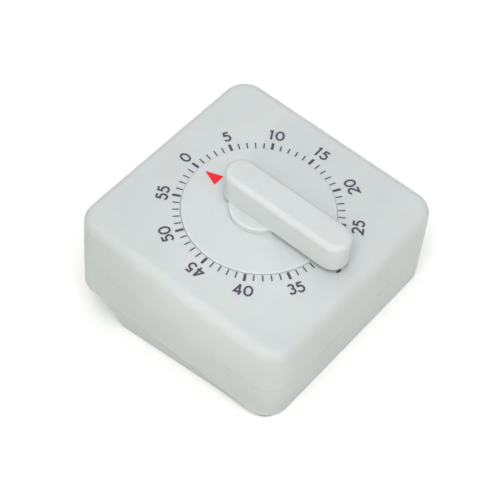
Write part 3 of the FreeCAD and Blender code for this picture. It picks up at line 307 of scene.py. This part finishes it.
def worked_metal(name, low, high, roughness, streaks):
    """Metal with tool or rolling marks along one direction, and clouded by handling."""
    finish = Finish(name, metallic=1.0)
    lines = finish.noise(METAL_STREAK, detail=4.0, place=finish.stretched(streaks))
    finish.colours(finish.noise(METAL_STAIN, detail=4.0), low, high)
    finish.roughness(lines, *roughness)
    finish.bump(lines, METAL_RELIEF)
    return finish.material


def make_finishes():
    """One material for each of the record's material slots."""
    along_x = (0.08, 1.0, 1.0)
    along_z = (1.0, 1.0, 0.06)
    round_and_round = (1.0, 1.0, 0.3)
    return {
        # the case's plastic carries painted shade in the crease between the rear case's rim and its foot
        "case_plastic": moulded_plastic(
            "moulded_case_white", (0.560, 0.582, 0.566), (0.580, 0.602, 0.584), (0.60, 0.70),
            grain_mm=0.32, grain_height_mm=0.006, crease_shade=(CREASE_SHADE_TINT, *CREASE_SHADE_DEPTHS)),
        "knob_plastic": moulded_plastic(
            "moulded_knob_white", (0.566, 0.586, 0.572), (0.586, 0.606, 0.590), (0.56, 0.66),
            grain_mm=0.28, grain_height_mm=0.004),
        "dial_ink": printed_ink(
            "scale_ink", (0.050, 0.036, 0.060), (0.085, 0.062, 0.096), (0.40, 0.55)),
        "pointer_ink": printed_ink(
            "pointer_ink", (0.720, 0.003, 0.014), (0.800, 0.005, 0.020), (0.45, 0.58)),
        "zinc_steel": worked_metal(
            "zinc_plated_steel", (0.56, 0.58, 0.62), (0.68, 0.69, 0.70), (0.28, 0.42), round_and_round),
        "plate_steel": worked_metal(
            "rolled_plate_steel", (0.52, 0.53, 0.54), (0.62, 0.62, 0.62), (0.34, 0.50), along_x),
        "bright_steel": worked_metal(
            "turned_bright_steel", (0.66, 0.66, 0.68), (0.76, 0.76, 0.77), (0.16, 0.30), along_z),
        "stamped_steel": worked_metal(
            "stamped_steel", (0.46, 0.46, 0.47), (0.60, 0.60, 0.60), (0.32, 0.48), round_and_round),
        "spring_steel": worked_metal(
            "tempered_spring_steel", (0.20, 0.22, 0.30), (0.36, 0.37, 0.42), (0.22, 0.36), along_x),
        "brass": worked_metal(
            "cut_brass", (0.70, 0.50, 0.20), (0.82, 0.62, 0.30), (0.22, 0.38), round_and_round),
        "bell_metal": worked_metal(
            "nickel_bell_metal", (0.66, 0.65, 0.63), (0.78, 0.77, 0.76), (0.10, 0.20), round_and_round),
    }


def dress_frame(finishes):
    """Gives every CAD node the finish of its own material slot."""
    for subpart in frame["record"]["subparts"]:
        for slot in frame["nodes"][subpart["node"]].material_slots:
            slot.material = finishes[subpart["material_slot"]]


# ---------------------------------------------------------------- flat printed shapes

def arc(centre, radii, start, stop, steps=ARC_STEPS):
    """Points on an ellipse, from one angle to the other, in degrees."""
    points = []
    for step in range(steps + 1):
        angle = math.radians(start + (stop - start) * step / steps)
        across = centre[0] + radii[0] * math.cos(angle)
        up = centre[1] + radii[1] * math.sin(angle)
        points.append(Vector((across, up)))
    return points


def rounded_corners(corners, radius):
    """The closed outline through these corners, each one eased by a small curve of about that radius."""
    outline = []
    count = len(corners)
    for index in range(count):
        before, corner, after = corners[index - 1], corners[index], corners[(index + 1) % count]
        start = corner + (before - corner).normalized() * radius
        stop = corner + (after - corner).normalized() * radius
        for step in range(CORNER_STEPS + 1):
            part = step / CORNER_STEPS
            outline.append(start.lerp(corner, part).lerp(corner.lerp(stop, part), part))
    return outline


def ribbon(line, width):
    """The left and right edges of a stroke of that width along an open line, with mitred corners."""
    left, right = [], []
    for index, point in enumerate(line):
        arriving = (point - line[index - 1]).normalized() if index else None
        leaving = (line[index + 1] - point).normalized() if index + 1 < len(line) else None
        arriving = arriving or leaving
        leaving = leaving or arriving
        along = (arriving + leaving).normalized()
        across = Vector((-along.y, along.x)) * (width / 2) / max(along.dot(leaving), MITRE_LIMIT)
        left.append(point + across)
        right.append(point - across)
    return left, right


class Print:
    """A thin raised ink film on one plane of the dial's axes, made of flat outlines."""

    def __init__(self, level):
        self.mesh = bmesh.new()
        self.low = level - INK_BELOW
        self.high = level + INK_ABOVE

    def ring_of(self, outline, height):
        """The outline's points as vertices at that height."""
        return [self.mesh.verts.new((point.x, point.y, height)) for point in outline]

    def wall(self, low, high):
        """Faces all round between two closed rings."""
        for index in range(len(low)):
            following = (index + 1) % len(low)
            self.mesh.faces.new((low[index], low[following], high[following], high[index]))

    def patch(self, outline):
        """A film filled right across, whose outline runs either way round."""
        area = sum(a.cross(b) for a, b in zip(outline, outline[1:] + outline[:1]))
        outline = outline if area > 0 else outline[::-1]
        low, high = self.ring_of(outline, self.low), self.ring_of(outline, self.high)
        self.wall(low, high)
        self.mesh.faces.new(high)
        self.mesh.faces.new(low[::-1])

    def loop(self, outer, inner):
        """A film between two closed outlines with the same number of points, both running anticlockwise."""
        outer_low, outer_high = self.ring_of(outer, self.low), self.ring_of(outer, self.high)
        inner_low, inner_high = self.ring_of(inner, self.low), self.ring_of(inner, self.high)
        self.wall(outer_low, outer_high)
        self.wall(inner_high, inner_low)
        self.wall(outer_high, inner_high)
        self.wall(inner_low, outer_low)

    def stroke(self, left, right, lift):
        """A film between two open edges, its top raised by lift so that crossing strokes share no plane."""
        left_low, right_low = self.ring_of(left, self.low), self.ring_of(right, self.low)
        left_high = self.ring_of(left, self.high + lift)
        right_high = self.ring_of(right, self.high + lift)
        top_and_bottom = ((right_high, left_high), (left_low, right_low))
        sides = ((right_low, right_high), (left_high, left_low))
        for index in range(len(left) - 1):
            for near, far in top_and_bottom + sides:
                self.mesh.faces.new((near[index], near[index + 1], far[index + 1], far[index]))
        self.mesh.faces.new((left_low[0], right_low[0], right_high[0], left_high[0]))
        self.mesh.faces.new((right_low[-1], left_low[-1], left_high[-1], right_high[-1]))

    def finished(self, name, body, material):
        """The film as an object that rides on a body, with every face of more than four sides cut up."""
        many_sided = [face for face in self.mesh.faces if len(face.verts) > 4]
        bmesh.ops.triangulate(self.mesh, faces=many_sided)
        self.mesh.transform(DIAL)
        data = bpy.data.meshes.new(name)
        self.mesh.to_mesh(data)
        self.mesh.free()
        data.materials.append(material)
        piece = bpy.data.objects.new(name, data)
        bpy.context.scene.collection.objects.link(piece)
        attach(piece, body)


def at_minute(minute, point):
    """A point given as (sideways, outward) on the radius of that minute."""
    turn = math.radians(360.0 * minute / MINUTES)
    outward = Vector((math.sin(turn), math.cos(turn)))
    sideways = Vector((math.cos(turn), -math.sin(turn)))
    return sideways * point[0] + outward * point[1]


# ---------------------------------------------------------------- the printed dial scale

def make_minute_scale(material):
    """Sixty ticks round the recess, with every fifth one longer and heavier."""
    film = Print(FACE_TOP)
    for minute in range(MINUTES):
        numbered = minute % NUMBERED_STEP == 0
        half = (NUMBERED_TICK_WIDTH if numbered else MINUTE_TICK_WIDTH) / 2
        outer = NUMBERED_TICK_OUTER if numbered else MINUTE_TICK_OUTER
        corners = [(-half, TICK_INNER), (half, TICK_INNER), (half, outer), (-half, outer)]
        film.patch(rounded_corners([at_minute(minute, corner) for corner in corners], TICK_CORNER))
    film.finished("minute_scale", "case", material)


def digit_strokes(digit):
    """The open centre lines of a digit one unit high, centred, with its stroke inside that height."""
    top = 0.5 - NUMERAL_STROKE / NUMERAL_HEIGHT / 2
    if digit == "1":
        stem = [Vector((0.06, -0.5)), Vector((0.06, 0.5))]
        return [stem, [Vector((0.06, top)), Vector((-0.13, top - 0.09))]]
    if digit == "2":
        crown = arc((0.0, top - 0.25), (0.25, 0.25), 165, -35)
        return [crown + [Vector((-0.24, -top)), Vector((0.29, -top))]]
    if digit == "3":
        upper = arc((0.0, top - 0.205), (0.205, 0.205), 155, -90)
        lower = arc((-0.01, -top + 0.235), (0.245, 0.235), 90, -155)
        return [upper, lower]
    if digit == "4":
        stem = [Vector((0.13, -0.5)), Vector((0.13, 0.5))]
        return [stem, [Vector((0.10, top)), Vector((-0.27, -0.20)), Vector((0.31, -0.20))]]
    if digit == "5":
        hook = [Vector((0.22, top)), Vector((-0.14, top)), Vector((-0.185, 0.045))]
        return [hook, arc((-0.02, -top + 0.275), (0.265, 0.275), 128, -155)]
    raise ValueError(f"no strokes for {digit}")


def print_number(film, minute):
    """The numeral of that minute, its top outward, or inward along the bottom of the dial."""
    text = str(minute)
    widths = [DIGIT_WIDTHS[digit] * NUMERAL_HEIGHT for digit in text]
    edge = -(sum(widths) + NUMERAL_GAP * (len(text) - 1)) / 2
    flip = -1.0 if FIRST_INVERTED <= minute <= LAST_INVERTED else 1.0
    for digit, width in zip(text, widths):
        middle = edge + width / 2
        edge += width + NUMERAL_GAP

        def placed(point):
            sideways = (middle + point.x * NUMERAL_HEIGHT) * flip
            outward = NUMERAL_RADIUS + point.y * NUMERAL_HEIGHT * flip
            return at_minute(minute, (sideways, outward)) + Vector(NUMERAL_SHIFT)

        if digit == "0":
            half = NUMERAL_STROKE / NUMERAL_HEIGHT / 2
            tall = 0.5 - half
            wide = DIGIT_WIDTHS[digit] / 2 - half
            outer = arc((0.0, 0.0), (wide + half, tall + half), 0, 360, ZERO_STEPS)[:-1]
            inner = arc((0.0, 0.0), (wide - half, tall - half), 0, 360, ZERO_STEPS)[:-1]
            film.loop([placed(point) for point in outer], [placed(point) for point in inner])
        else:
            for order, line in enumerate(digit_strokes(digit)):
                edges = ribbon(line, NUMERAL_STROKE / NUMERAL_HEIGHT)
                left, right = ([placed(point) for point in edge_line] for edge_line in edges)
                film.stroke(left, right, order * STROKE_STEP)


def make_numerals(material):
    """The twelve numbers outside the ticks."""
    film = Print(FACE_TOP)
    for minute in range(0, MINUTES, NUMBERED_STEP):
        print_number(film, minute)
    film.finished("scale_numerals", "case", material)


def make_pointer(material):
    """The triangle on the knob's disc that points at the minutes left."""
    film = Print(DISC_TOP)
    tip = Vector((POINTER_MIDDLE, POINTER_TIP))
    left = Vector((POINTER_MIDDLE - POINTER_HALF_WIDTH, POINTER_BASE))
    right = Vector((POINTER_MIDDLE + POINTER_HALF_WIDTH, POINTER_BASE))
    film.patch(rounded_corners([tip, left, right], POINTER_CORNER))
    film.finished("pointer_mark", "dial", material)


# ---------------------------------------------------------------- floor, light and camera

def make_floor():
    """A wide pale floor under the timer's feet."""
    finish = Finish("pale_floor")
    finish.colours(finish.noise(FLOOR_CLOUD), (0.985, 0.978, 0.935), (0.990, 0.984, 0.945))
    finish.roughness(finish.noise(FLOOR_GLOSS_PATCH), 0.75, 0.85)
    grid = bmesh.new()
    bmesh.ops.create_grid(grid, x_segments=FLOOR_CELLS, y_segments=FLOOR_CELLS, size=FLOOR_HALF)
    data = bpy.data.meshes.new("floor")
    grid.to_mesh(data)
    grid.free()
    data.materials.append(finish.material)
    floor = bpy.data.objects.new("floor", data)
    floor.location.z = cad_box[0].z
    bpy.context.scene.collection.objects.link(floor)


def hang_light(data, direction, distance, aim):
    """Hangs a light that way and that far from the dial's centre, turned to its aim on the dial's axes."""
    place = DIAL @ (Vector(direction).normalized() * distance)
    light = bpy.data.objects.new(data.name, data)
    light.location = place
    light.rotation_mode = "QUATERNION"
    light.rotation_quaternion = (DIAL @ Vector(aim) - place).to_track_quat("-Z", "Y")
    bpy.context.scene.collection.objects.link(light)


def make_window():
    """A wide soft window, behind the camera and up to its left."""
    data = bpy.data.lights.new("window_light", "AREA")
    data.shape = "SQUARE"
    data.size = WINDOW_SIZE
    data.energy = WINDOW_WATTS
    data.color = WINDOW_COLOUR
    hang_light(data, WINDOW_DIRECTION, WINDOW_DISTANCE, (0.0, 0.0, 0.0))


def make_lamp():
    """A narrow lamp, low on the left, whose soft round pool of light lies on the knob."""
    data = bpy.data.lights.new("knob_lamp", "SPOT")
    data.shadow_soft_size = LAMP_RADIUS
    data.spot_size = LAMP_CONE
    data.spot_blend = 1.0
    data.energy = LAMP_WATTS
    data.color = LAMP_COLOUR
    hang_light(data, LAMP_DIRECTION, LAMP_DISTANCE, LAMP_AIM)


def make_sky():
    """Soft light from all round, strong and cool overhead, weak and warm towards the horizon."""
    world = bpy.data.worlds.new("studio")
    world.use_nodes = True
    nodes, links = world.node_tree.nodes, world.node_tree.links
    split = nodes.new("ShaderNodeSeparateXYZ")
    links.new(nodes.new("ShaderNodeTexCoord").outputs["Generated"], split.inputs["Vector"])
    height = nodes.new("ShaderNodeMath")
    height.operation = "POWER"
    height.inputs[1].default_value = SKY_POWER
    height.use_clamp = True
    links.new(split.outputs["Z"], height.inputs[0])
    ramp = nodes.new("ShaderNodeValToRGB")
    for element, colour in zip(ramp.color_ramp.elements, SKY_COLOURS):
        element.color = colour
    links.new(height.outputs["Value"], ramp.inputs["Fac"])
    links.new(ramp.outputs["Color"], nodes["Background"].inputs["Color"])
    span = nodes.new("ShaderNodeMapRange")
    span.inputs["To Min"].default_value, span.inputs["To Max"].default_value = SKY_STRENGTHS
    links.new(height.outputs["Value"], span.inputs["Value"])
    links.new(span.outputs["Result"], nodes["Background"].inputs["Strength"])
    bpy.context.scene.world = world


def make_camera():
    """The camera at the photograph's angle, worked out on the dial's axes."""
    eye = DIAL @ Vector(CAMERA_EYE)
    target = DIAL @ Vector(CAMERA_TARGET)
    data = bpy.data.cameras.new("camera")
    data.lens = CAMERA_LENS
    data.sensor_width = SENSOR_WIDTH
    data.clip_start = CLIP_START
    camera = bpy.data.objects.new("camera", data)
    forward = (target - eye).normalized()
    right = forward.cross(DIAL.to_3x3() @ Vector(CAMERA_UP)).normalized()
    turned = Matrix((right, right.cross(forward), -forward)).transposed().to_4x4()
    camera.matrix_world = Matrix.Translation(eye) @ turned
    bpy.context.scene.collection.objects.link(camera)
    bpy.context.scene.camera = camera


# ---------------------------------------------------------------- the whole scene

finishes = make_finishes()
dress_frame(finishes)
make_minute_scale(finishes["dial_ink"])
make_numerals(finishes["dial_ink"])
make_pointer(finishes["pointer_ink"])
make_floor()
make_sky()
make_window()
make_lamp()
make_camera()
bpy.context.scene.view_settings.view_transform = "Standard"

bpy.context.view_layer.update()
